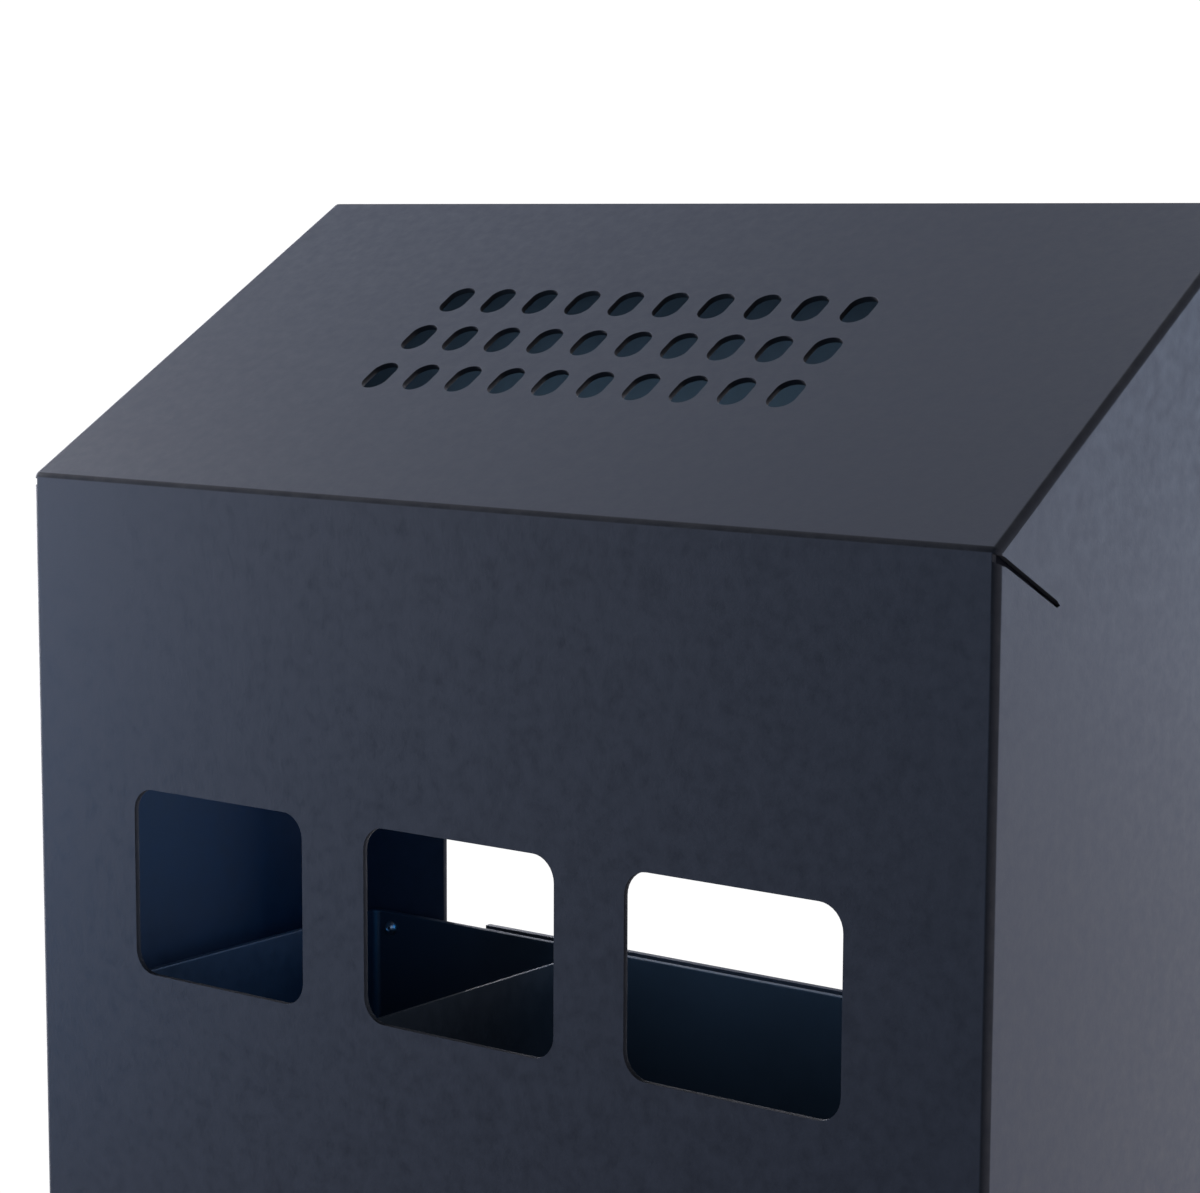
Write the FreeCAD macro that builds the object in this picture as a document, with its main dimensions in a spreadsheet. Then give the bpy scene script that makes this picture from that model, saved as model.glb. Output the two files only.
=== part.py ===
"""Wall-mounted ashtray bin of folded sheet steel: a bracket on the wall, a container that stands on its
shelf, and a hood that slides down over both and is locked from below. Millimetres, +Z up, +X to the
viewer's right, -Y out of the wall. The origin is the centre of the four wall-screw holes, on the wall."""

import FreeCAD, Part
import math
import os
import Sketcher

doc = FreeCAD.newDocument("AshtrayBin")
sheet = doc.addObject("Spreadsheet::Sheet", "Dims")


class Size:
    """A length that knows both its value and the spreadsheet expression it comes from."""

    def __init__(self, value, text):
        self.value = value
        self.text = text

    def join(self, other, sign, swap=False):
        other = as_size(other)
        left, right = (other, self) if swap else (self, other)
        results = {
            "+": left.value + right.value,
            "-": left.value - right.value,
            "*": left.value * right.value,
            "/": left.value / right.value if right.value else math.inf,
        }
        return Size(results[sign], f"({left.text} {sign} {right.text})")

    def __add__(self, other):
        return self.join(other, "+")

    def __radd__(self, other):
        return self.join(other, "+", swap=True)

    def __sub__(self, other):
        return self.join(other, "-")

    def __rsub__(self, other):
        return self.join(other, "-", swap=True)

    def __mul__(self, other):
        return self.join(other, "*")

    def __rmul__(self, other):
        return self.join(other, "*", swap=True)

    def __truediv__(self, other):
        return self.join(other, "/")

    def __neg__(self):
        return 0 - self

    def root(self):
        return Size(math.sqrt(self.value), f"sqrt({self.text})")


def as_size(number):
    return number if isinstance(number, Size) else Size(float(number), repr(float(number)))


def dim(alias, value):
    """Writes one driving dimension into the sheet and returns it."""
    dim.row += 1
    sheet.set(f"A{dim.row}", alias)
    sheet.set(f"B{dim.row}", str(value))
    sheet.setAlias(f"B{dim.row}", alias)
    return Size(float(value), f"Dims.{alias}")


dim.row = 0

# ---- Driving dimensions -------------------------------------------------------------------------------

# Hood: one folded blank
hood_width = dim("hood_width", 300)
hood_depth = dim("hood_depth", 124)
front_height = dim("front_height", 326)
roof_rise = dim("roof_rise", 75)
hood_sheet = dim("hood_sheet", 1.5)
bend_radius = dim("bend_radius", 1.8)
wall_gap = dim("wall_gap", 1)
rear_flange = dim("rear_flange", 42)
top_flange = dim("top_flange", 60)
bottom_return = dim("bottom_return", 8)

# Three openings in the front
opening_width = dim("opening_width", 61)
opening_height = dim("opening_height", 50.5)
opening_radius = dim("opening_radius", 6.5)
opening_pitch = dim("opening_pitch", 82)
opening_drop = dim("opening_drop", 107.5)
opening_count = 3

# Grid of slots in the roof
vent_width = dim("vent_width", 8)
vent_length = dim("vent_length", 12)
vent_pitch = dim("vent_pitch", 14.4)
vent_row_pitch = dim("vent_row_pitch", 18.7)
vent_columns = 10
vent_rows = 3

# Mitre slit at each front corner
slit_length = dim("slit_length", 29)
slit_width = dim("slit_width", 2)

# Wall plate and its screw holes
plate_flange_gap = dim("plate_flange_gap", 16)
plate_sheet = dim("plate_sheet", 2)
plate_top_drop = dim("plate_top_drop", 140)
plate_foot = dim("plate_foot", 11)
screw_side_inset = dim("screw_side_inset", 32)
screw_top_inset = dim("screw_top_inset", 25)
screw_bottom_inset = dim("screw_bottom_inset", 50)
screw_hole_radius = dim("screw_hole_radius", 3.5)

# Rails that hold the hood's rear flanges to the wall
rail_sheet = dim("rail_sheet", 2)
rail_foot = dim("rail_foot", 18)
rail_lap = dim("rail_lap", 12)
rail_clearance = dim("rail_clearance", 0.8)
rail_top_drop = dim("rail_top_drop", 10)
rail_shelf_gap = dim("rail_shelf_gap", 2)
stud_radius = dim("stud_radius", 4)
stud_height = dim("stud_height", 4)

# Container and its divider
container_side_gap = dim("container_side_gap", 19)
container_sheet = dim("container_sheet", 1)
container_front_gap = dim("container_front_gap", 12.5)
container_back_gap = dim("container_back_gap", 9)
container_corner = dim("container_corner", 3)
rim_drop = dim("rim_drop", 138.9)
rim_hem = dim("rim_hem", 10)
divider_offset = dim("divider_offset", -46.5)
divider_flange = dim("divider_flange", 12)
divider_clearance = dim("divider_clearance", 0.2)
foot_radius = dim("foot_radius", 8)
foot_height = dim("foot_height", 3)
foot_inset = dim("foot_inset", 15)

# Shelf under the container
shelf_sheet = dim("shelf_sheet", 2)
shelf_rise = dim("shelf_rise", 39.7)
shelf_back = dim("shelf_back", 25)
lip_height = dim("lip_height", 10)
lip_clearance = dim("lip_clearance", 1)
gusset_sheet = dim("gusset_sheet", 2)
gusset_reach = dim("gusset_reach", 56)
gusset_inset = dim("gusset_inset", 12)

# Lock under the shelf
lock_setback = dim("lock_setback", 37.5)
lock_lift = dim("lock_lift", 3)
barrel_radius = dim("barrel_radius", 9)
barrel_length = dim("barrel_length", 19.7)
head_radius = dim("head_radius", 11)
head_thickness = dim("head_thickness", 3)
plug_radius = dim("plug_radius", 6)
plug_clearance = dim("plug_clearance", 0.05)
tang_width = dim("tang_width", 7)
key_width = dim("key_width", 8)
key_depth = dim("key_depth", 6)
nut_across = dim("nut_across", 24)
nut_thickness = dim("nut_thickness", 4)
washer_thickness = dim("washer_thickness", 0.8)
hole_clearance = dim("hole_clearance", 0.1)
cam_width = dim("cam_width", 14)
cam_sheet = dim("cam_sheet", 2.5)
cam_tip_gap = dim("cam_tip_gap", 2)
cam_gap = dim("cam_gap", 1)
cam_float = dim("cam_float", 0.3)
bracket_reach = dim("bracket_reach", 42)
bracket_depth = dim("bracket_depth", 28)
bracket_flange = dim("bracket_flange", 14)
keeper_width = dim("keeper_width", 30)
keeper_reach = dim("keeper_reach", 6.5)
keeper_height = dim("keeper_height", 16)

# Fasteners and running gaps
rivet_radius = dim("rivet_radius", 2)
rivet_head = dim("rivet_head", 4)
rivet_crown = dim("rivet_crown", 1.4)
screw_radius = dim("screw_radius", 2)
screw_head = dim("screw_head", 3.5)
screw_crown = dim("screw_crown", 2.5)
seat_gap = dim("seat_gap", 0.3)

# ---- Places worked out from the driving dimensions ----------------------------------------------------

plate_height = front_height - plate_top_drop - plate_foot
screw_rise = plate_height - screw_top_inset - screw_bottom_inset
fold_z = screw_rise / 2 + screw_top_inset + plate_top_drop
bottom_z = fold_z - front_height
hood_side = hood_width / 2
hood_back = -wall_gap
hood_front = hood_back - hood_depth
inner_side = hood_side - hood_sheet
inner_front = hood_front + hood_sheet
inner_back = hood_back - hood_sheet
roof_slope = roof_rise / hood_depth
roof_secant = (1 + roof_slope * roof_slope).root()
roof_length = hood_depth * roof_secant

plate_side = hood_side - rear_flange - plate_flange_gap
plate_width = 2 * plate_side
screw_spacing = plate_width - 2 * screw_side_inset
plate_top = fold_z - plate_top_drop
plate_bottom = bottom_z + plate_foot
deck_bottom = bottom_z + shelf_rise
deck_top = deck_bottom + shelf_sheet
shelf_face = -plate_sheet
rim_z = fold_z - rim_drop
container_bottom = deck_top + foot_height
container_height = rim_z - container_bottom
container_side = inner_side - container_side_gap
container_width = 2 * container_side
container_front = inner_front + container_front_gap
container_back = -container_back_gap
container_inner_back = container_back - container_sheet
container_inner_front = container_front + container_sheet

lip_back = container_front - lip_clearance
lip_front = lip_back - shelf_sheet

lock_y = inner_front + lock_setback
head_bottom = bottom_z + lock_lift
bracket_bottom = head_bottom + head_thickness
bracket_top = bracket_bottom + plate_sheet
barrel_top = bracket_bottom + barrel_length
cam_bottom = barrel_top + cam_float
cam_top = cam_bottom + cam_sheet
cam_reach = lock_setback - cam_tip_gap
keeper_top = cam_bottom - cam_gap
screw_seat = cam_top + washer_thickness

rail_top = plate_top - rail_top_drop
rail_bottom = deck_top + rail_shelf_gap
rail_inner = plate_side - rail_foot
rail_outer = hood_side - rear_flange + rail_lap
rail_back = inner_back - rail_clearance
stud_x = rail_outer - rail_lap / 2
stud_z = rail_top + seat_gap + stud_radius

# ---- Builders -----------------------------------------------------------------------------------------

doc.recompute()
nodes = []


def keep(thing, node):
    """Names a finished piece after its node and remembers it for the export."""
    thing.Label = node
    nodes.append(thing)
    return thing


def bind(thing, rules):
    for prop, size in rules.items():
        thing.setExpression(prop, as_size(size).text)


def at(thing, x, y, z):
    bind(thing, {"Placement.Base.x": x, "Placement.Base.y": y, "Placement.Base.z": z})
    return thing


def block(name, x, y, z):
    """A box between two values along each axis."""
    box = doc.addObject("Part::Box", name)
    bind(box, {"Length": x[1] - x[0], "Width": y[1] - y[0], "Height": z[1] - z[0]})
    return at(box, x[0], y[0], z[0])


def upright(name, radius, x, y, z):
    """A cylinder standing along Z between two heights."""
    rod = doc.addObject("Part::Cylinder", name)
    bind(rod, {"Radius": radius, "Height": z[1] - z[0]})
    return at(rod, x, y, z[0])


def outward(name, radius, x, y, z):
    """A cylinder lying along Y, from its back end y[0] towards the front end y[1]."""
    rod = doc.addObject("Part::Cylinder", name)
    rod.Placement.Rotation = FreeCAD.Rotation(FreeCAD.Vector(1, 0, 0), 90)
    bind(rod, {"Radius": radius, "Height": y[0] - y[1]})
    return at(rod, x, y[0], z)


def joined(name, shapes):
    fuse = doc.addObject("Part::MultiFuse", name)
    fuse.Shapes = shapes
    fuse.Refine = True
    return fuse


def group(name, pieces):
    bundle = doc.addObject("Part::Compound", name)
    bundle.Links = pieces
    return bundle


def drilled(name, base, tools):
    """The base with every tool cut out of it."""
    cut = doc.addObject("Part::Cut", name)
    cut.Base = base
    cut.Tool = tools[0] if len(tools) == 1 else group(name + "Tools", tools)
    return cut


def wall_rivet(name, x, y, z):
    """A blind rivet along Y: a shank from y[0] to y[1] and a low head on its front end."""
    shank = outward(name + "Shank", rivet_radius, x, y, z)
    head = doc.addObject("Part::Cone", name + "Head")
    head.Placement.Rotation = FreeCAD.Rotation(FreeCAD.Vector(1, 0, 0), 90)
    bind(head, {"Radius1": rivet_head, "Radius2": rivet_head / 2, "Height": rivet_crown})
    at(head, x, y[1], z)
    return joined(name, [shank, head])


def floor_rivet(name, x, y, z):
    """A blind rivet along Z: a shank from z[0] up to z[1] and a low head under its lower end."""
    shank = upright(name + "Shank", rivet_radius, x, y, z)
    head = doc.addObject("Part::Cone", name + "Head")
    bind(head, {"Radius1": rivet_head / 2, "Radius2": rivet_head, "Height": rivet_crown})
    at(head, x, y, z[0] - rivet_crown)
    return joined(name, [shank, head])


def origin_plane(body, role):
    return next(f for f in body.Origin.OriginFeatures if f.Role == role)


def new_sketch(body, name, role, lift=0):
    """A sketch parallel to one of the body's own origin planes, lifted along the plane's normal."""
    sketch = body.newObject("Sketcher::SketchObject", name)
    sketch.AttachmentSupport = [(origin_plane(body, role), "")]
    sketch.MapMode = "FlatFace"
    bind(sketch, {"AttachmentOffset.Base.z": lift})
    return sketch


def fix(sketch, kind, *where, size):
    """Adds a driving constraint whose value follows the sheet."""
    index = sketch.addConstraint(Sketcher.Constraint(kind, *where, as_size(size).value))
    bind(sketch, {f"Constraints[{index}]": size})


def outline(sketch, corners):
    """A closed outline through corners, each placed from the sketch's origin."""
    count = len(corners)
    points = [FreeCAD.Vector(as_size(x).value, as_size(y).value, 0) for x, y in corners]
    for i in range(count):
        sketch.addGeometry(Part.LineSegment(points[i], points[(i + 1) % count]))
    for i in range(count):
        sketch.addConstraint(Sketcher.Constraint("Coincident", i, 2, (i + 1) % count, 1))
    for i, (x, y) in enumerate(corners):
        fix(sketch, "DistanceX", -1, 1, i, 1, size=x)
        fix(sketch, "DistanceY", -1, 1, i, 1, size=y)


def rectangle(sketch, x, y):
    outline(sketch, [(x[0], y[0]), (x[1], y[0]), (x[1], y[1]), (x[0], y[1])])


def rounded_rectangle(sketch, centre, width, height, radius):
    """Four sides and four tangent corner arcs about a centre."""
    cx, cy, r = (as_size(v).value for v in (*centre, radius))
    half_w = width.value / 2
    half_h = height.value / 2
    turns = ((1, -1, -90), (1, 1, 0), (-1, 1, 90), (-1, -1, 180))
    starts = ((-half_w + r, -half_h), (half_w, -half_h + r), (half_w - r, half_h), (-half_w, half_h - r))
    ends = ((half_w - r, -half_h), (half_w, half_h - r), (-half_w + r, half_h), (-half_w, -half_h + r))
    for i, (sx, sy, start) in enumerate(turns):
        line = [FreeCAD.Vector(cx + p[0], cy + p[1], 0) for p in (starts[i], ends[i])]
        sketch.addGeometry(Part.LineSegment(*line))
        middle = FreeCAD.Vector(cx + sx * (half_w - r), cy + sy * (half_h - r), 0)
        circle = Part.Circle(middle, FreeCAD.Vector(0, 0, 1), r)
        sketch.addGeometry(Part.ArcOfCircle(circle, math.radians(start), math.radians(start + 90)))
    for i in range(8):
        sketch.addConstraint(Sketcher.Constraint("Tangent", i, 2, (i + 1) % 8, 1))
    for side, way in ((0, "Horizontal"), (4, "Horizontal"), (2, "Vertical"), (6, "Vertical")):
        sketch.addConstraint(Sketcher.Constraint(way, side))
    for corner in (3, 5, 7):
        sketch.addConstraint(Sketcher.Constraint("Equal", 1, corner))
    fix(sketch, "Radius", 1, size=radius)
    fix(sketch, "DistanceX", -1, 1, 6, 1, size=centre[0] - width / 2)
    fix(sketch, "DistanceX", -1, 1, 2, 1, size=centre[0] + width / 2)
    fix(sketch, "DistanceY", -1, 1, 0, 1, size=centre[1] - height / 2)
    fix(sketch, "DistanceY", -1, 1, 4, 1, size=centre[1] + height / 2)


def obround(sketch, centre, width, length):
    """A slot along the sketch's Y axis: two sides and two half-round ends."""
    cx, cy, r = (as_size(v).value for v in (*centre, width / 2))
    reach = length.value / 2 - r
    up = FreeCAD.Vector(0, 0, 1)
    for way, start in ((1, 0), (-1, math.pi)):
        foot = FreeCAD.Vector(cx + way * r, cy - way * reach, 0)
        head = FreeCAD.Vector(cx + way * r, cy + way * reach, 0)
        sketch.addGeometry(Part.LineSegment(foot, head))
        end = Part.Circle(FreeCAD.Vector(cx, cy + way * reach, 0), up, r)
        sketch.addGeometry(Part.ArcOfCircle(end, start, start + math.pi))
    for i in range(4):
        sketch.addConstraint(Sketcher.Constraint("Tangent", i, 2, (i + 1) % 4, 1))
    sketch.addConstraint(Sketcher.Constraint("Vertical", 0))
    fix(sketch, "DistanceX", -1, 1, 1, 3, size=centre[0])
    fix(sketch, "DistanceY", -1, 1, 1, 3, size=centre[1] + length / 2 - width / 2)
    fix(sketch, "DistanceY", -1, 1, 3, 3, size=centre[1] - length / 2 + width / 2)
    fix(sketch, "Radius", 1, size=width / 2)


def pad(body, name, sketch, length):
    feature = body.newObject("PartDesign::Pad", name)
    feature.Profile = sketch
    bind(feature, {"Length": length})
    body.Tip = feature
    doc.recompute()
    return feature


def pocket(body, name, sketch, depth):
    """Cuts against the sketch's normal, and checks that it took something away."""
    before = body.Shape.Volume
    feature = body.newObject("PartDesign::Pocket", name)
    feature.Profile = sketch
    bind(feature, {"Length": depth})
    body.Tip = feature
    doc.recompute()
    if body.Shape.Volume > before - 1:
        raise RuntimeError(f"{name} cut nothing")
    return feature


def profile_body(node, role, corners, lift, length):
    """A folded piece: its profile drawn on an origin plane and padded along the fold."""
    body = doc.addObject("PartDesign::Body", "Body_" + node)
    doc.recompute()
    sketch = new_sketch(body, node + "_profile", role, lift)
    outline(sketch, corners)
    pad(body, node + "_pad", sketch, length)
    return keep(body, node)


# ---- Hood shell: front, sides, vented roof and rear flanges, folded from one blank ---------------------

hood = doc.addObject("PartDesign::Body", "Body_hood_shell")
doc.recompute()
envelope = new_sketch(hood, "hood_profile", "YZ_Plane", -hood_side)
outline(
    envelope,
    [
        (hood_back, bottom_z),
        (hood_front, bottom_z),
        (hood_front, fold_z),
        (hood_back, fold_z + roof_rise),
    ],
)
hood_block = pad(hood, "hood_block", envelope, hood_width)


def is_bend(edge):
    """Every outer edge is a bend, except the one along the bottom of the back."""
    box = edge.BoundBox
    at_back = box.YMin > hood_back.value - 1
    at_bottom = box.ZMax < bottom_z.value + 1
    return not (at_back and at_bottom)


bends = hood.newObject("PartDesign::Fillet", "hood_bends")
edges = [f"Edge{i + 1}" for i, edge in enumerate(hood_block.Shape.Edges) if is_bend(edge)]
bends.Base = (hood_block, edges)
bind(bends, {"Radius": bend_radius})
hood.Tip = bends
doc.recompute()

inside = new_sketch(hood, "hood_inside", "YZ_Plane", inner_side)
inner_drop = hood_sheet * roof_secant
outline(
    inside,
    [
        (inner_back, bottom_z + hood_sheet),
        (inner_front, bottom_z + hood_sheet),
        (inner_front, fold_z + hood_sheet * roof_slope - inner_drop),
        (inner_back, fold_z + (hood_depth - hood_sheet) * roof_slope - inner_drop),
    ],
)
pocket(hood, "hood_hollow", inside, 2 * inner_side)

rear = new_sketch(hood, "hood_rear_window", "XZ_Plane", -inner_back + 1)
window_side = hood_side - rear_flange
rectangle(rear, (-window_side, window_side), (bottom_z - 1, fold_z + roof_rise - top_flange))
pocket(hood, "rear_window", rear, hood_sheet + 2)

bottom = new_sketch(hood, "hood_bottom", "XY_Plane", bottom_z + hood_sheet + 1)
bottom_side = hood_side - bottom_return
rectangle(bottom, (-bottom_side, bottom_side), (hood_front + bottom_return, inner_back))
pocket(hood, "bottom_mouth", bottom, hood_sheet + 2)

opening_sketch = new_sketch(hood, "opening_outline", "XZ_Plane", -hood_front)
first_opening = (-opening_pitch, fold_z - opening_drop)
rounded_rectangle(opening_sketch, first_opening, opening_width, opening_height, opening_radius)
opening = pocket(hood, "opening", opening_sketch, hood_sheet + 1)
openings = hood.newObject("PartDesign::LinearPattern", "openings")
openings.Originals = [opening]
openings.Direction = (opening_sketch, ["H_Axis"])
bind(openings, {"Length": 2 * opening_pitch})
openings.Occurrences = opening_count
hood.Tip = openings
doc.recompute()

vent_sketch = new_sketch(hood, "vent_outline", "XY_Plane")
bind(vent_sketch, {"AttachmentOffset.Base.y": hood_back - hood_depth / 2})
bind(vent_sketch, {"AttachmentOffset.Base.z": fold_z + roof_rise / 2})
vent_sketch.AttachmentOffset.Rotation = FreeCAD.Rotation(FreeCAD.Vector(1, 0, 0), 30)
vent_sketch.setExpression("AttachmentOffset.Rotation.Angle", f"atan({roof_slope.text})")
first_vent = (-vent_pitch * (vent_columns - 1) / 2, -vent_row_pitch * (vent_rows - 1) / 2)
obround(vent_sketch, first_vent, vent_width, vent_length)
vent = pocket(hood, "vent", vent_sketch, hood_sheet + 1)
grid = hood.newObject("PartDesign::MultiTransform", "vents")
grid.Originals = [vent]
across = hood.newObject("PartDesign::LinearPattern", "vents_across")
across.Direction = (vent_sketch, ["H_Axis"])
bind(across, {"Length": vent_pitch * (vent_columns - 1)})
across.Occurrences = vent_columns
upslope = hood.newObject("PartDesign::LinearPattern", "vents_upslope")
upslope.Direction = (vent_sketch, ["V_Axis"])
bind(upslope, {"Length": vent_row_pitch * (vent_rows - 1)})
upslope.Occurrences = vent_rows
grid.Transformations = [across, upslope]
hood.Tip = grid
doc.recompute()

# The slit runs back and down from the front corner, along the line that halves the fold's angle.
slit_sketch = new_sketch(hood, "slit_outline", "YZ_Plane", hood_side)
fall = (roof_secant - 1) / roof_slope
slit_run = slit_length / (1 + fall * fall).root()
outline(
    slit_sketch,
    [
        (hood_front - 1, fold_z - bend_radius / 4 + fall),
        (hood_front - 1, fold_z - bend_radius / 4 - slit_width + fall),
        (hood_front + slit_run, fold_z - bend_radius / 4 - slit_width / 2 - slit_run * fall),
    ],
)
slit = pocket(hood, "slit", slit_sketch, hood_sheet + 1)
slits = hood.newObject("PartDesign::Mirrored", "slits")
slits.Originals = [slit]
slits.MirrorPlane = (origin_plane(hood, "YZ_Plane"), [""])
hood.Tip = slits
doc.recompute()
keep(hood, "hood_shell")

# ---- Keeper and studs, welded inside the hood ----------------------------------------------------------

profile_body(
    "lock_keeper",
    "YZ_Plane",
    [
        (inner_front, keeper_top),
        (inner_front, keeper_top - keeper_height),
        (inner_front + hood_sheet, keeper_top - keeper_height),
        (inner_front + hood_sheet, keeper_top - hood_sheet),
        (inner_front + keeper_reach, keeper_top - hood_sheet),
        (inner_front + keeper_reach, keeper_top),
    ],
    -keeper_width / 2,
    keeper_width,
)
studs = [
    outward(f"Stud{i}", stud_radius, side * stud_x, (inner_back, inner_back - stud_height), stud_z)
    for i, side in enumerate((-1, 1))
]
keep(group("Studs", studs), "hood_studs")

# ---- Wall plate, with the holes for wall screws and rivets ---------------------------------------------

rail_rivet_x = plate_side - rail_foot / 2
rail_span = rail_top - rail_bottom
rail_rivet_spots = [
    (side * rail_rivet_x, rail_bottom + rail_span * share)
    for side in (-1, 1)
    for share in (0.15, 0.5, 0.85)
]
shelf_rivet_z = deck_bottom - shelf_back / 2
shelf_rivet_spots = [(side * plate_side * share, shelf_rivet_z) for side in (-1, 1) for share in (0.2, 0.6)]

plate_depth = (-plate_sheet, 0 * plate_sheet)
plate_blank = block("PlateBlank", (-plate_side, plate_side), plate_depth, (plate_bottom, plate_top))
through_plate = (plate_sheet, -plate_sheet * 2)
screw_spots = [(x * screw_spacing / 2, z * screw_rise / 2) for x in (-1, 1) for z in (-1, 1)]
plate_holes = [
    outward(f"ScrewHole{i}", screw_hole_radius, x, through_plate, z) for i, (x, z) in enumerate(screw_spots)
]
plate_holes += [
    outward(f"PlateRivetHole{i}", rivet_radius + hole_clearance, x, through_plate, z)
    for i, (x, z) in enumerate(rail_rivet_spots + shelf_rivet_spots)
]
keep(drilled("WallPlate", plate_blank, plate_holes), "wall_plate")

# ---- Guide rails: a foot on the plate and a joggled tongue over the hood's rear flange ------------------


def guide_rail(side, word, spots):
    """One rail, drawn on the floor plane and padded up the plate."""
    face = -plate_sheet
    corners = [
        (side * rail_inner, face),
        (side * (plate_side + 1), face),
        (side * (plate_side + 3), rail_back),
        (side * rail_outer, rail_back),
        (side * rail_outer, rail_back - rail_sheet),
        (side * (plate_side + 3), rail_back - rail_sheet),
        (side * (plate_side + 1), face - rail_sheet),
        (side * rail_inner, face - rail_sheet),
    ]
    body = doc.addObject("PartDesign::Body", f"Body_rail_{word}")
    doc.recompute()
    sketch = new_sketch(body, f"rail_{word}_profile", "XY_Plane", rail_bottom)
    outline(sketch, corners)
    pad(body, f"rail_{word}_pad", sketch, rail_span)
    holes = [
        outward(f"Rail{word}Hole{i}", rivet_radius + hole_clearance, x, (0 * x, -plate_sheet * 4), z)
        for i, (x, z) in enumerate(spots)
    ]
    keep(drilled(f"Rail_{word}", body, holes), f"guide_rail_{word}")


guide_rail(-1, "left", rail_rivet_spots[:3])
guide_rail(1, "right", rail_rivet_spots[3:])
rivet_grip = (0 * plate_sheet, -plate_sheet - rail_sheet)
rivets = [wall_rivet(f"RailRivet{i}", x, rivet_grip, z) for i, (x, z) in enumerate(rail_rivet_spots)]
keep(group("RailRivets", rivets), "rail_rivets")

# ---- Shelf: back flange, deck and front lip, folded in one -------------------------------------------

shelf_body = doc.addObject("PartDesign::Body", "Body_shelf")
doc.recompute()
shelf_sketch = new_sketch(shelf_body, "shelf_profile", "YZ_Plane", -plate_side)
outline(
    shelf_sketch,
    [
        (shelf_face, deck_top),
        (shelf_face, deck_bottom - shelf_back),
        (shelf_face - shelf_sheet, deck_bottom - shelf_back),
        (shelf_face - shelf_sheet, deck_bottom),
        (lip_front, deck_bottom),
        (lip_front, deck_top + lip_height),
        (lip_back, deck_top + lip_height),
        (lip_back, deck_top),
    ],
)
pad(shelf_body, "shelf_pad", shelf_sketch, plate_width)
bracket_rivet_x = bracket_reach + plate_sheet + (bracket_flange - plate_sheet) / 2
bracket_rivet_spots = [
    (side * bracket_rivet_x, lock_y + reach * bracket_depth / 4) for side in (-1, 1) for reach in (-1, 1)
]
shelf_holes = [
    outward(f"ShelfRivetHole{i}", rivet_radius + hole_clearance, x, (0 * x, -plate_sheet * 4), z)
    for i, (x, z) in enumerate(shelf_rivet_spots)
]
shelf_holes += [
    upright(f"DeckRivetHole{i}", rivet_radius + hole_clearance, x, y, (deck_bottom - 1, deck_top + 1))
    for i, (x, y) in enumerate(bracket_rivet_spots)
]
keep(drilled("Shelf", shelf_body, shelf_holes), "container_shelf")
rivet_grip = (0 * plate_sheet, -plate_sheet - shelf_sheet)
rivets = [wall_rivet(f"ShelfRivet{i}", x, rivet_grip, z) for i, (x, z) in enumerate(shelf_rivet_spots)]
keep(group("ShelfRivets", rivets), "shelf_rivets")

gusset_back = shelf_face - shelf_sheet
for side, word in ((-1, "left"), (1, "right")):
    profile_body(
        f"shelf_gusset_{word}",
        "YZ_Plane",
        [
            (gusset_back, deck_bottom),
            (gusset_back, deck_bottom - shelf_back + 2),
            (gusset_back - 4, deck_bottom - shelf_back + 2),
            (gusset_back - gusset_reach, deck_bottom - 3),
            (gusset_back - gusset_reach, deck_bottom),
        ],
        side * (plate_side - gusset_inset) - gusset_sheet / 2,
        gusset_sheet,
    )

# ---- Lock bracket: a hat section riveted under the deck -----------------------------------------------

leg = bracket_reach
bracket_body = doc.addObject("PartDesign::Body", "Body_lock_bracket")
doc.recompute()
bracket_sketch = new_sketch(bracket_body, "lock_bracket_profile", "XZ_Plane", -lock_y - bracket_depth / 2)
outline(
    bracket_sketch,
    [
        (-leg - plate_sheet, bracket_bottom),
        (leg + plate_sheet, bracket_bottom),
        (leg + plate_sheet, deck_bottom - plate_sheet),
        (leg + bracket_flange, deck_bottom - plate_sheet),
        (leg + bracket_flange, deck_bottom),
        (leg, deck_bottom),
        (leg, bracket_top),
        (-leg, bracket_top),
        (-leg, deck_bottom),
        (-leg - bracket_flange, deck_bottom),
        (-leg - bracket_flange, deck_bottom - plate_sheet),
        (-leg - plate_sheet, deck_bottom - plate_sheet),
    ],
)
pad(bracket_body, "lock_bracket_pad", bracket_sketch, bracket_depth)
centre = 0 * lock_y
barrel_hole_radius = barrel_radius + hole_clearance
through_bracket = (bracket_bottom - 1, bracket_top + 1)
bracket_holes = [upright("BarrelHole", barrel_hole_radius, centre, lock_y, through_bracket)]
bracket_holes += [
    upright(f"FlangeRivetHole{i}", rivet_radius + hole_clearance, x, y, (deck_bottom - 4, deck_bottom + 1))
    for i, (x, y) in enumerate(bracket_rivet_spots)
]
keep(drilled("LockBracket", bracket_body, bracket_holes), "lock_bracket")
rivet_grip = (deck_bottom - plate_sheet, deck_top)
rivets = [floor_rivet(f"BracketRivet{i}", x, y, rivet_grip) for i, (x, y) in enumerate(bracket_rivet_spots)]
keep(group("BracketRivets", rivets), "lock_bracket_rivets")

# ---- Cam lock: barrel, nut and washer stay, plug and cam turn -----------------------------------------

barrel_head = upright("BarrelHead", head_radius, centre, lock_y, (head_bottom, bracket_bottom))
barrel_stem = upright("BarrelStem", barrel_radius, centre, lock_y, (bracket_bottom, barrel_top))
barrel_bore = upright("BarrelBore", plug_radius, centre, lock_y, (head_bottom - 1, barrel_top + 1))
keep(drilled("LockBarrel", joined("BarrelBody", [barrel_head, barrel_stem]), [barrel_bore]), "lock_barrel")

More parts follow.
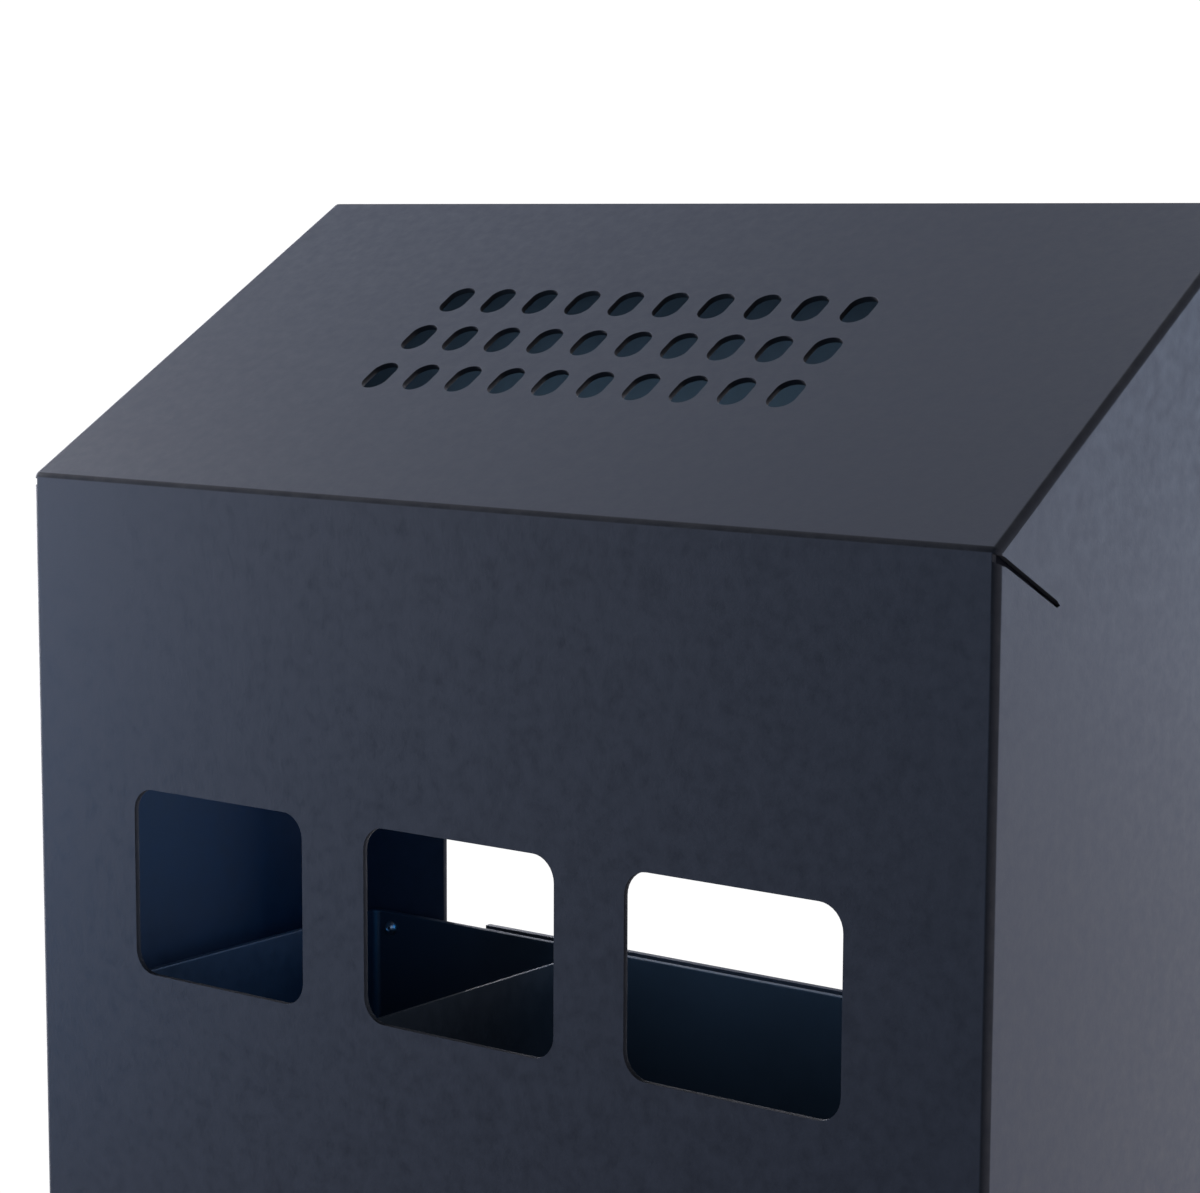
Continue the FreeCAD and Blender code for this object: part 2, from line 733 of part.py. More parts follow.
washer_top = bracket_top + washer_thickness
washer_disc = upright("WasherDisc", head_radius + 1, centre, lock_y, (bracket_top, washer_top))
through_washer = (bracket_top - 1, washer_top + 1)
washer_hole = upright("WasherHole", barrel_hole_radius, centre, lock_y, through_washer)
keep(drilled("LockWasher", washer_disc, [washer_hole]), "lock_washer")

nut_prism = doc.addObject("Part::Prism", "NutPrism")
nut_prism.Polygon = 6
bind(nut_prism, {"Circumradius": nut_across / math.sqrt(3), "Height": nut_thickness})
at(nut_prism, centre, lock_y, washer_top)
through_nut = (washer_top - 1, washer_top + nut_thickness + 1)
nut_hole = upright("NutHole", barrel_hole_radius, centre, lock_y, through_nut)
keep(drilled("LockNut", nut_prism, [nut_hole]), "lock_nut")

plug_rod = upright("PlugRod", plug_radius - plug_clearance, centre, lock_y, (head_bottom + 0.5, cam_bottom))
half_tang = tang_width / 2
tang_y = (lock_y - half_tang, lock_y + half_tang)
plug_tang = block("PlugTang", (-half_tang, half_tang), tang_y, (cam_bottom, cam_top))
key_socket = doc.addObject("Part::Prism", "KeySocket")
key_socket.Polygon = 3
bind(key_socket, {"Circumradius": key_width / 2, "Height": key_depth})
at(key_socket, centre, lock_y, head_bottom)
tap_depth = (cam_bottom - 6, cam_top + 1)
plug_tap = upright("PlugTap", screw_radius + hole_clearance / 2, centre, lock_y, tap_depth)
keep(drilled("LockPlug", joined("PlugBody", [plug_rod, plug_tang]), [key_socket, plug_tap]), "lock_plug")

# At rest the cam lies along -X, unlocked; a quarter turn brings it forward, over the keeper.
half_cam = cam_width / 2
cam_arm = block("CamArm", (-cam_reach, centre), (lock_y - half_cam, lock_y + half_cam), (cam_bottom, cam_top))
cam_hub = upright("CamHub", half_cam, centre, lock_y, (cam_bottom, cam_top))
tang_side = half_tang + hole_clearance
cam_hole_y = (lock_y - tang_side, lock_y + tang_side)
cam_hole = block("CamHole", (-tang_side, tang_side), cam_hole_y, (cam_bottom - 1, cam_top + 1))
keep(drilled("LockCam", joined("CamBody", [cam_arm, cam_hub]), [cam_hole]), "lock_cam")

cam_disc = upright("CamDisc", half_tang + 2.5, centre, lock_y, (cam_top, screw_seat))
through_disc = (cam_top - 1, screw_seat + 1)
cam_disc_hole = upright("CamDiscHole", screw_radius + hole_clearance, centre, lock_y, through_disc)
keep(drilled("CamWasher", cam_disc, [cam_disc_hole]), "cam_washer")

screw_shank = upright("ScrewShank", screw_radius, centre, lock_y, (cam_bottom - 5, screw_seat))
screw_cap = upright("ScrewCap", screw_head, centre, lock_y, (screw_seat, screw_seat + screw_crown))
driver_slot = block(
    "DriverSlot",
    (-screw_head - 1, screw_head + 1),
    (lock_y - 0.5, lock_y + 0.5),
    (screw_seat + screw_crown / 2, screw_seat + screw_crown + 1),
)
keep(drilled("CamScrew", joined("ScrewBody", [screw_shank, screw_cap]), [driver_slot]), "cam_screw")

# ---- Container: folded box with a hem round its rim ---------------------------------------------------

box_body = doc.addObject("PartDesign::Body", "Body_container")
doc.recompute()
box_sketch = new_sketch(box_body, "container_outline", "XY_Plane", container_bottom)
box_span = container_back - container_front
box_centre = (0 * box_span, container_front + box_span / 2)
rounded_rectangle(box_sketch, box_centre, container_width, box_span, container_corner)
pad(box_body, "container_block", box_sketch, container_height)
hem_sketch = new_sketch(box_body, "hem_outline", "XY_Plane", rim_z - rim_hem)
hem_width = container_width + 2 * container_sheet
hem_span = box_span + 2 * container_sheet
rounded_rectangle(hem_sketch, box_centre, hem_width, hem_span, container_corner + container_sheet)
pad(box_body, "container_hem", hem_sketch, rim_hem)
hollow_sketch = new_sketch(box_body, "container_inside", "XY_Plane", rim_z)
hollow_width = container_width - 2 * container_sheet
hollow_span = box_span - 2 * container_sheet
rounded_rectangle(hollow_sketch, box_centre, hollow_width, hollow_span, container_corner - container_sheet)
pocket(box_body, "container_hollow", hollow_sketch, container_height - container_sheet)

corner_rivet_x = container_side - container_corner - rivet_head
corner_rivet_heights = (rim_z - rivet_head - 1, container_bottom + 2 * rivet_head)
corner_spots = [(side * corner_rivet_x, z) for side in (-1, 1) for z in corner_rivet_heights]
divider_rivet_x = divider_offset - divider_flange / 2
divider_heights = (rim_z - rim_hem - 2 * rivet_head, container_bottom + 4 * rivet_head)
divider_spots = [(divider_rivet_x, z) for z in divider_heights]
back_grip = (container_back + 2 * container_sheet, container_inner_back - 1)
front_grip = (container_inner_front + 1, container_front - 2 * container_sheet)
wall_holes = [
    outward(f"BoxRivetHole{i}", rivet_radius + hole_clearance, x, grip, z)
    for i, (x, z, grip) in enumerate(
        [(x, z, back_grip) for x, z in corner_spots]
        + [(x, z, grip) for x, z in divider_spots for grip in (back_grip, front_grip)]
    )
]
keep(drilled("Container", box_body, wall_holes), "container_shell")

divider_back = container_inner_back - divider_clearance
divider_front = container_inner_front + divider_clearance
divider_body = doc.addObject("PartDesign::Body", "Body_divider")
doc.recompute()
divider_floor = container_bottom + container_sheet + divider_clearance
divider_sketch = new_sketch(divider_body, "divider_profile", "XY_Plane", divider_floor)
flange_end = divider_offset - divider_flange
outline(
    divider_sketch,
    [
        (divider_offset, divider_back),
        (flange_end, divider_back),
        (flange_end, divider_back - container_sheet),
        (divider_offset - container_sheet, divider_back - container_sheet),
        (divider_offset - container_sheet, divider_front + container_sheet),
        (flange_end, divider_front + container_sheet),
        (flange_end, divider_front),
        (divider_offset, divider_front),
    ],
)
pad(divider_body, "divider_pad", divider_sketch, rim_z - divider_floor - 1)
divider_holes = [
    outward(f"DividerHole{i}", rivet_radius + hole_clearance, x, (container_back, container_front), z)
    for i, (x, z) in enumerate(divider_spots)
]
keep(drilled("Divider", divider_body, divider_holes), "container_divider")

head_in_back = (container_back, container_inner_back)
rivets = [wall_rivet(f"CornerRivet{i}", x, head_in_back, z) for i, (x, z) in enumerate(corner_spots)]
flange_grip = (container_back, divider_back - container_sheet)
rivets += [wall_rivet(f"DividerBackRivet{i}", x, flange_grip, z) for i, (x, z) in enumerate(divider_spots)]
flange_grip = (divider_front + container_sheet, container_front)
rivets += [wall_rivet(f"DividerFrontRivet{i}", x, flange_grip, z) for i, (x, z) in enumerate(divider_spots)]
keep(group("ContainerRivets", rivets), "container_rivets")

foot_x = plate_side - foot_inset
foot_spots = [
    (side * foot_x, y)
    for side in (-1, 1)
    for y in (container_back - foot_inset, container_front + foot_inset)
]
feet = [
    upright(f"Foot{i}", foot_radius, x, y, (deck_top + seat_gap, container_bottom))
    for i, (x, y) in enumerate(foot_spots)
]
keep(group("Feet", feet), "container_feet")

# ---- Checks and export --------------------------------------------------------------------------------

doc.recompute()
for thing in doc.Objects:
    if "Invalid" in thing.State or "Error" in thing.State:
        raise RuntimeError(f"{thing.Label} failed: {thing.State}")
for node in nodes:
    shape = node.Shape
    if shape.isNull() or not shape.isValid() or not shape.Solids:
        raise RuntimeError(f"{node.Label} has no valid solid")

os.makedirs("parts", exist_ok=True)
for node in nodes:
    node.Shape.exportStep(f"parts/{node.Label}.step")
    print(node.Label, len(node.Shape.Solids), round(node.Shape.Volume, 1))
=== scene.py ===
"""Wall-mounted ashtray bin of folded, powder-coated sheet steel, built round its CAD frame."""
import math
from contextlib import contextmanager

import bmesh
import bpy
from mathutils import Matrix, Vector


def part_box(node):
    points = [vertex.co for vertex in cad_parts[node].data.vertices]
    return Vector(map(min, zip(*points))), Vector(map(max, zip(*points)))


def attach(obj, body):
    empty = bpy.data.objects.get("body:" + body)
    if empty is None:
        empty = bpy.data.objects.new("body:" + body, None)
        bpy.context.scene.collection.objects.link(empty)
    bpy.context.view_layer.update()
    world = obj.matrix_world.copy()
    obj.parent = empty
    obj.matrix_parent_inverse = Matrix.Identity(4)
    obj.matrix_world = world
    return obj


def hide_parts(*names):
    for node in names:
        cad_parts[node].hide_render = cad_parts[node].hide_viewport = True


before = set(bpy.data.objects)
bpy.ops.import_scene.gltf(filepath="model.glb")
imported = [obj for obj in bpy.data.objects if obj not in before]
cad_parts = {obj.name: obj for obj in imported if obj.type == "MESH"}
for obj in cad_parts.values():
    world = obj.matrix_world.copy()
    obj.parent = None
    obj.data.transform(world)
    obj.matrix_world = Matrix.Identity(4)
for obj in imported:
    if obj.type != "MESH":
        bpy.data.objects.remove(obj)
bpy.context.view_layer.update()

# ---- Studio ---------------------------------------------------------------------------------------------
# A white surround and soft boxes round the bin, which hangs clear of any floor: it is seen from its front
# right at about the height of its roof, with a long lens.

scene = bpy.context.scene
scene.view_settings.view_transform = "Standard"

EYE = Vector((0.46202, -0.67371, 0.28278))
EYE_YAW = math.radians(37.296)
EYE_PITCH = math.radians(-7.124)
EYE_ROLL = math.radians(0.228)

lens = bpy.data.cameras.new("camera")
lens.lens = 89.3
lens.sensor_width = 36.0
lens.clip_start = 0.01
camera = bpy.data.objects.new("camera", lens)
tilt = Matrix.Rotation(math.pi / 2 + EYE_PITCH, 4, "X") @ Matrix.Rotation(EYE_ROLL, 4, "Z")
camera.matrix_world = Matrix.Translation(EYE) @ Matrix.Rotation(EYE_YAW, 4, "Z") @ tilt
scene.collection.objects.link(camera)
scene.camera = camera


class Socket:
    """One output of a node: arithmetic on it adds the Math nodes it needs."""

    def __init__(self, graph, output):
        self.graph = graph
        self.output = output

    def maths(self, operation, first, second):
        return self.graph.node("ShaderNodeMath", {"operation": operation}, {0: first, 1: second})

    def __add__(self, other):
        return self.maths("ADD", self, other)

    def __radd__(self, other):
        return self.maths("ADD", other, self)

    def __sub__(self, other):
        return self.maths("SUBTRACT", self, other)

    def __rsub__(self, other):
        return self.maths("SUBTRACT", other, self)

    def __mul__(self, other):
        return self.maths("MULTIPLY", self, other)

    def __rmul__(self, other):
        return self.maths("MULTIPLY", other, self)


class Graph:
    """A node tree under construction."""

    def __init__(self, tree):
        self.tree = tree

    def node(self, kind, settings=None, inputs=None, output=0):
        """One node, with its settings and the values or links of its sockets."""
        made = self.tree.nodes.new(kind)
        for name, value in (settings or {}).items():
            setattr(made, name, value)
        self.plug(made, inputs or {})
        return Socket(self, made.outputs[output])

    def plug(self, node, inputs):
        for name, value in inputs.items():
            if isinstance(value, Socket):
                self.tree.links.new(value.output, node.inputs[name])
            else:
                node.inputs[name].default_value = value


SURROUND_LIGHT = 0.10
BACKDROP_LIGHT = 1.05
WHITE = (1, 1, 1, 1)
world = bpy.data.worlds.new("surround")
world.use_nodes = True
scene.world = world
air = Graph(world.node_tree)
air.tree.nodes.clear()
seen = air.node("ShaderNodeLightPath", output="Is Camera Ray")
dim = air.node("ShaderNodeBackground", inputs={"Color": WHITE, "Strength": SURROUND_LIGHT})
bright = air.node("ShaderNodeBackground", inputs={"Color": WHITE, "Strength": BACKDROP_LIGHT})
either = air.node("ShaderNodeMixShader", inputs={0: seen, 1: dim, 2: bright})
air.plug(air.tree.nodes.new("ShaderNodeOutputWorld"), {"Surface": either})


def soft_box(name, place, aim, size, power, spread=180):
    """A rectangular area light at a place, turned towards a point, of a power in red, green and blue."""
    lamp = bpy.data.lights.new(name, "AREA")
    lamp.shape = "RECTANGLE"
    lamp.size, lamp.size_y = size
    lamp.energy = max(power)
    lamp.color = [share / lamp.energy for share in power]
    lamp.spread = math.radians(spread)
    holder = bpy.data.objects.new(name, lamp)
    holder.location = place
    holder.rotation_euler = (Vector(aim) - Vector(place)).to_track_quat("-Z", "Y").to_euler()
    holder.visible_camera = False
    scene.collection.objects.link(holder)


MIDDLE = Vector((0, -0.06, 0.09))
BOX_REACH = 1.5
BOX_SIZE = (0.8, 0.8)
# Bearing from the front towards the right, elevation, and power in watts.
SOFT_BOXES = {
    "left_key": (-90, 10, (55.3, 55.8, 62.2)),
    "left_low": (-90, -15, (11.6, 11.8, 13.2)),
    "left_back": (-120, 10, (21.8, 21.9, 24.4)),
    "left_high": (-120, 40, (1.7, 1.9, 2.4)),
    "front": (0, 10, (1.2, 2.0, 3.2)),
    "right_low": (90, -15, (11.5, 11.4, 12.8)),
    "right_back": (150, 10, (3.0, 3.7, 5.0)),
    "back_low": (180, -15, (18.7, 18.6, 20.8)),
    "back_high": (180, 68, (5.2, 5.5, 6.4)),
}
for name, (bearing, elevation, power) in SOFT_BOXES.items():
    bearing, elevation = math.radians(bearing), math.radians(elevation)
    level = math.cos(elevation)
    way = Vector((math.sin(bearing) * level, -math.cos(bearing) * level, math.sin(elevation)))
    soft_box(name, MIDDLE + way * BOX_REACH, MIDDLE, BOX_SIZE, power)
# Four small lamps more: a cool one close to the front's left edge, and three inside the hood. Each has
# its place, what it faces, its size, its power and its spread.
soft_box("left_tint", (-0.5, -0.3, 0.1), (-0.15, -0.125, 0.1), (0.1, 0.4), (0.0, 0.13, 0.37))
soft_box("rim_strip", (0.05, -0.024, 0.098), (0.05, -0.014, 0.0), (0.2, 0.01), (0.008, 0.013, 0.019), 120)
soft_box("wall_fill", (-0.07, -0.06, 0.11), (-0.15, -0.06, 0.1), (0.06, 0.06), (0.0, 0.0038, 0.011), 120)
soft_box("roof_fill", (-0.03, -0.09, 0.205), (-0.03, 0.0, 0.235), (0.2, 0.02), (0.012, 0.02, 0.024), 70)

# ---- Hood -----------------------------------------------------------------------------------------------
# One blank of 1.5 mm sheet, folded into a front, two sides, a sloped roof and rear flanges: three
# openings and the roof's slots are cut first, and the corner mitres are welded and ground flush, all
# but a slit at either front corner. It is powder-coated.


class Paint(Graph):
    """A material under construction, with its Principled shader and what is the same all over it."""

    def __init__(self, name, **constants):
        self.material = bpy.data.materials.new(name)
        self.material.use_nodes = True
        super().__init__(self.material.node_tree)
        self.skin = self.tree.nodes["Principled BSDF"]
        for socket, value in constants.items():
            self.skin.inputs[socket.replace("_", " ")].default_value = value

    def noise(self, place, size, detail=2.0, rough=0.5):
        """Noise between 0 and 1 whose blobs are about size metres across."""
        inputs = {"Vector": place, "Scale": 1 / size, "Detail": detail, "Roughness": rough}
        return self.node("ShaderNodeTexNoise", {}, inputs, "Fac")

    def blend(self, factor, first, second):
        """A colour between two colours."""
        return self.node("ShaderNodeMix", {"data_type": "RGBA"}, {0: factor, 6: first, 7: second}, 2)


def rgba(red, green, blue):
    """A scene-linear colour from its 0 to 255 display values."""
    channel = [v / 255 for v in (red, green, blue)]
    return (*[c / 12.92 if c < 0.04045 else ((c + 0.055) / 1.055) ** 2.4 for c in channel], 1.0)


# Powder is sprayed on and baked to a fine, dull skin with a faint orange peel, mottled by how thickly it
# fell. The first four sizes are how wide the blobs of each layer are, then come how deep the peel is and
# how much each layer does to the shade, the roughness and the relief.
PEEL = 0.0011
GRAIN = 0.00045
FLECK = 0.0035
CLOUD = 0.014
PEEL_HEIGHT = 0.00004
CLOUD_SHADE, FLECK_SHADE, GRAIN_SHADE = 0.3, 0.5, 0.2
CLOUD_ROUGH, FLECK_ROUGH, MEAN_ROUGH = 0.1, 0.3, 0.2
PEEL_RELIEF, GRAIN_RELIEF, RELIEF_STRENGTH = 0.65, 0.35, 0.6
GLOSS_LEVEL = 0.42
# The colour that painted shade on the bends darkens the coat towards, then how much rougher the coat is
# there.
PAINTED_BEND_SHADE = (0.004, 0.004, 0.006, 1.0)
BEND_ROUGH = 0.3


def dull_skin(name, colour, roughness, mottle=0.4, bend_shade=0.0, metal=0.0):
    """A mottled, finely textured skin. Where the mesh's bend attribute is 1, painted shade darkens it by
    bend_shade.
    """
    paint = Paint(name, Specular_IOR_Level=GLOSS_LEVEL, Metallic=metal)
    place = paint.node("ShaderNodeTexCoord", output="Object")
    clouds = paint.noise(place, CLOUD, 5.0, 0.65)
    fleck = paint.noise(place, FLECK, 3.0, 0.6)
    grain = paint.noise(place, GRAIN, 2.0)
    peel = paint.noise(place, PEEL, 2.0)
    light = tuple(min(1.0, c * (1 + mottle)) for c in colour[:3]) + (1.0,)
    dark = tuple(c * (1 - mottle) for c in colour[:3]) + (1.0,)
    mottling = CLOUD_SHADE * clouds + FLECK_SHADE * fleck + GRAIN_SHADE * grain
    shade = paint.blend(mottling, dark, light)
    rough = roughness - MEAN_ROUGH + CLOUD_ROUGH * clouds + FLECK_ROUGH * fleck
    # Painted shade: the bends are darkened towards that colour, and the coat is made rougher there.
    if bend_shade:
        bend = paint.node("ShaderNodeAttribute", {"attribute_name": "bend"}, output="Fac")
        shade = paint.blend(bend * bend_shade, shade, PAINTED_BEND_SHADE)
        rough = rough + BEND_ROUGH * bend
    relief = PEEL_RELIEF * peel + GRAIN_RELIEF * grain
    raised = {"Height": relief, "Strength": RELIEF_STRENGTH, "Distance": PEEL_HEIGHT}
    bump = paint.node("ShaderNodeBump", inputs=raised)
    paint.plug(paint.skin, {"Base Color": shade, "Roughness": rough, "Normal": bump})
    return paint.material


# The hood's coat carries painted shade on its bends and eased edges.
hood_coat = dull_skin("hood_powder_coat", rgba(50, 53, 64), 0.5, bend_shade=0.75)

SHEET = 0.0015
FOLD_RADIUS = 0.0018
SIDE_RADIUS = 0.0018
FRONT_HEIGHT = 0.326
ROOF_RISE = 0.075
REAR_FLANGE = 0.042
TOP_FLANGE = 0.060
BOTTOM_RETURN = 0.008
CUT_BEVEL = 0.00022
PAST = 0.001

hood_low, hood_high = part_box("hood_shell")
hood_side = hood_high.x
hood_front = hood_low.y
hood_back = hood_high.y
fold_z = hood_low.z + FRONT_HEIGHT
ridge_z = fold_z + ROOF_RISE
roof_slope = ROOF_RISE / (hood_back - hood_front)
roof_angle = math.atan(roof_slope)


def rectangle(left, low, right, high):
    return [(left, low), (right, low), (right, high), (left, high)]


def rounded(corners, radii, steps=6):
    """An outline through 2D corners, each turned on an arc of its radius; 0 keeps it sharp."""
    points = []
    for i, (corner, radius) in enumerate(zip(corners, radii)):
        corner = Vector(corner)
        if not radius:
            points.append(corner)
            continue
        before = (Vector(corners[i - 1]) - corner).normalized()
        after = (Vector(corners[(i + 1) % len(corners)]) - corner).normalized()
        half = before.angle(after) / 2
        centre = corner + (before + after).normalized() * radius / math.sin(half)
        start = corner + before * radius / math.tan(half) - centre
        sweep = start.angle_signed(corner + after * radius / math.tan(half) - centre)
        points += [centre + Matrix.Rotation(-sweep * k / steps, 2) @ start for k in range(steps + 1)]
    return points


@contextmanager
def shaping(mesh):
    """A mesh opened for modelling, and written back at the end."""
    solid = bmesh.new()
    solid.from_mesh(mesh)
    yield solid
    solid.to_mesh(mesh)
    solid.free()


SAME_SPOT = 1e-6


def new_piece(name, mesh):
    piece = bpy.data.objects.new(name, mesh)
    scene.collection.objects.link(piece)
    return piece


def face_outward(piece):
    """Merges a piece's doubled points and turns its faces outward."""
    with shaping(piece.data) as solid:
        bmesh.ops.remove_doubles(solid, verts=solid.verts, dist=SAME_SPOT)
        bmesh.ops.recalc_face_normals(solid, faces=solid.faces)
    return piece


def lofted(name, rings):
    """A closed solid through rings of points, equal in number, with a face at either end."""
    mesh = bpy.data.meshes.new(name)
    with shaping(mesh) as solid:
        loops = [[solid.verts.new(point) for point in ring] for ring in rings]
        for near, far in zip(loops, loops[1:]):
            for i in range(len(near)):
                j = (i + 1) % len(near)
                solid.faces.new((near[i], near[j], far[j], far[i]))
        solid.faces.new(loops[0])
        solid.faces.new(loops[-1])
    return face_outward(new_piece(name, mesh))


def prism(name, outline, along, *stations):
    """A closed solid: an outline in the two other axes, through stations along X, Y or Z."""
    spot = {
        "X": lambda p, d: (d, p[0], p[1]),
        "Y": lambda p, d: (p[0], d, p[1]),
        "Z": lambda p, d: (p[0], p[1], d),
    }[along]
    return lofted(name, [[spot(p, d) for p in outline] for d in stations])


def settle(piece):
    """Replaces a piece's mesh with what its modifiers make of it, and removes them."""
    graph = bpy.context.evaluated_depsgraph_get()
    graph.update()
    mesh = bpy.data.meshes.new_from_object(piece.evaluated_get(graph))
    piece.modifiers.clear()
    old = piece.data
    piece.data = mesh
    bpy.data.meshes.remove(old)
    mesh.name = piece.name
    return piece


def carve(piece, tool, operation="DIFFERENCE"):
    """Cuts a tool out of a piece, or joins it, and removes the tool."""
    cut = piece.modifiers.new("carve", "BOOLEAN")
    cut.object = tool
    cut.operation = operation
    cut.solver = "MANIFOLD"
    settle(piece)
    bpy.data.objects.remove(tool)
    return piece


def round_ends(piece, radius, steps=6):
    """Rounds the edges that lie in the piece's two end faces across X."""
    with shaping(piece.data) as solid:
        reach = max(abs(v.co.x) for v in solid.verts) - SAME_SPOT / 10
        ends = [e for e in solid.edges if all(abs(v.co.x) > reach for v in e.verts)]
        bmesh.ops.bevel(solid, geom=ends, offset=radius, segments=steps, profile=0.5, affect="EDGES")
    return piece


def ease(piece, width, angle=50, steps=2):
    """Breaks the sharp cut edges, as the coat does, and smooths the shading between flat faces."""
    bevel = piece.modifiers.new("ease", "BEVEL")
    bevel.width = width
    bevel.segments = steps
    bevel.limit_method = "ANGLE"
    bevel.angle_limit = math.radians(angle)
    bevel.use_clamp_overlap = True
    return smooth(settle(piece))


FLAT_WIDTH = 0.0018
FLAT_ERROR = 0.000004
SAME_WAY = 0.9


def flat_patches(solid):
    """Each wide flat face and its coplanar neighbours, by face index, with the normal they share."""
    normals = {}
    wide = [f for f in solid.faces if f.calc_area() / max(e.calc_length() for e in f.edges) > FLAT_WIDTH]
    for seed in sorted(wide, key=lambda f: -f.calc_area()):
        if seed.index in normals:
            continue
        normal, foot = seed.normal.copy(), seed.calc_center_median()
        normals[seed.index] = normal
        waiting = [seed]
        while waiting:
            for edge in waiting.pop().edges:
                for face in edge.link_faces:
                    level = all(abs((v.co - foot).dot(normal)) < FLAT_ERROR for v in face.verts)
                    if face.index not in normals and level and face.normal.dot(normal) > SAME_WAY:
                        normals[face.index] = normal
                        waiting.append(face)
    return normals


def smooth(piece, angle=38):
    """Shading that keeps flat patches flat, runs smoothly round bends and breaks at the angle."""
    mesh = piece.data
    with shaping(mesh) as solid:
        many_sided = [face for face in solid.faces if len(face.verts) > 4]
        bmesh.ops.triangulate(solid, faces=many_sided, quad_method="BEAUTY", ngon_method="BEAUTY")
    mesh.shade_smooth()
    limit = math.cos(math.radians(angle))
    turned = []
    with shaping(mesh) as solid:
        flat = flat_patches(solid)
        for face in solid.faces:
            for corner in face.loops:
                if face.index in flat:
                    turned.append(flat[face.index])
                    continue
                beside = [f for f in corner.vert.link_faces if f.normal.dot(face.normal) > limit]
                level = [flat[f.index] for f in beside if f.index in flat]
                if level:
                    turned.append(max(level, key=lambda n: n.dot(face.normal)))
                else:
                    turned.append(sum((f.normal for f in beside), Vector()).normalized())
    mesh.normals_split_custom_set(turned)
    return piece


def finish(piece, body, slot, material, *nodes):
    """Paints a piece, hangs it on its body and hides the CAD parts it stands for."""
    piece.data.materials.clear()
    piece.data.materials.append(material)
    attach(piece, body)
    if nodes:
        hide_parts(*nodes)
    return piece


SIDE_BAND = 0.008
drop = SHEET / math.cos(roof_angle)
outer_corners = [
    (hood_back, hood_low.z),
    (hood_front, hood_low.z),
    (hood_front, fold_z),
    (hood_back, ridge_z),
]
inner_corners = [
    (hood_back - SHEET, hood_low.z + SHEET),
    (hood_front + SHEET, hood_low.z + SHEET),
    (hood_front + SHEET, fold_z + SHEET * roof_slope - drop),
    (hood_back - SHEET, ridge_z - SHEET * roof_slope - drop),
]
outer_radii = (0, FOLD_RADIUS, FOLD_RADIUS, FOLD_RADIUS)
inner_radii = (0, FOLD_RADIUS - SHEET, FOLD_RADIUS - SHEET, FOLD_RADIUS - SHEET)
near_side = hood_side - SIDE_BAND
stations = (-hood_side, -near_side, near_side, hood_side)
hood = prism("hood", rounded(outer_corners, outer_radii), "X", *stations)
round_ends(hood, SIDE_RADIUS)
inside_side = hood_side - SHEET
stations = (-inside_side, -near_side, near_side, inside_side)
hollow = prism("hood_hollow", rounded(inner_corners, inner_radii), "X", *stations)
round_ends(hollow, SIDE_RADIUS - SHEET)
carve(hood, hollow)

WINDOW_CORNER = 0.002
window_x = hood_side - REAR_FLANGE
window_top = ridge_z - TOP_FLANGE
window = rectangle(-window_x, hood_low.z - PAST, window_x, window_top)
window = rounded(window, (0, 0, WINDOW_CORNER, WINDOW_CORNER))
carve(hood, prism("window", window, "Y", hood_back - SHEET - PAST, hood_back + PAST))

mouth_x = hood_side - BOTTOM_RETURN
mouth_front = hood_front + BOTTOM_RETURN
mouth = rectangle(-mouth_x, mouth_front, mouth_x, hood_back - SHEET)
carve(hood, prism("mouth", mouth, "Z", hood_low.z - PAST, hood_low.z + SHEET + PAST))

OPENING_WIDTH = 0.061
OPENING_HEIGHT = 0.0505
OPENING_RADIUS = 0.0065
OPENING_PITCH = 0.082
OPENING_DROP = 0.1075
opening_z = fold_z - OPENING_DROP
low, high = opening_z - OPENING_HEIGHT / 2, opening_z + OPENING_HEIGHT / 2
for place in (-1, 0, 1):
    left, right = place * OPENING_PITCH - OPENING_WIDTH / 2, place * OPENING_PITCH + OPENING_WIDTH / 2
    hole = rounded(rectangle(left, low, right, high), [OPENING_RADIUS] * 4, steps=8)
    carve(hood, prism("opening", hole, "Y", hood_front - PAST, hood_front + SHEET + PAST))


class Jig(Graph):
    """Geometry Nodes with named inputs, run once on a piece and settled into its mesh."""

    KINDS = {
        int: "NodeSocketInt",
        float: "NodeSocketFloat",
        tuple: "NodeSocketRotation",
        bpy.types.Material: "NodeSocketMaterial",
        bpy.types.Object: "NodeSocketObject",
    }

    def __init__(self, name, **given):
        super().__init__(bpy.data.node_groups.new(name, "GeometryNodeTree"))
        sockets = self.tree.interface
        sockets.new_socket("Geometry", in_out="INPUT", socket_type="NodeSocketGeometry")
        sockets.new_socket("Geometry", in_out="OUTPUT", socket_type="NodeSocketGeometry")
        self.values = {}
        for label, value in given.items():
            socket = sockets.new_socket(label, in_out="INPUT", socket_type=self.KINDS[type(value)])
            self.values[socket.identifier] = value
        self.entry = self.tree.nodes.new("NodeGroupInput")
        self.exit = self.tree.nodes.new("NodeGroupOutput")

    def given(self, label):
        return Socket(self, self.entry.outputs[label])

    def run(self, piece, result):
        """Ends the tree in its Coat, and turns the piece into what the tree makes."""
        whole = self.node("GeometryNodeRealizeInstances", inputs={"Geometry": result})
        coated = {"Geometry": whole, "Material": self.given("Coat")}
        self.plug(self.exit, {"Geometry": self.node("GeometryNodeSetMaterial", inputs=coated)})
        modifier = piece.modifiers.new(self.tree.name, "NODES")
        modifier.node_group = self.tree
        for identifier, value in self.values.items():
            modifier[identifier] = value
        return settle(piece)


VENT_WIDTH = 0.008
VENT_LENGTH = 0.012
VENT_PITCH = 0.0144
VENT_ROW_PITCH = 0.0187
VENT_COLUMNS = 10
VENT_ROWS = 3

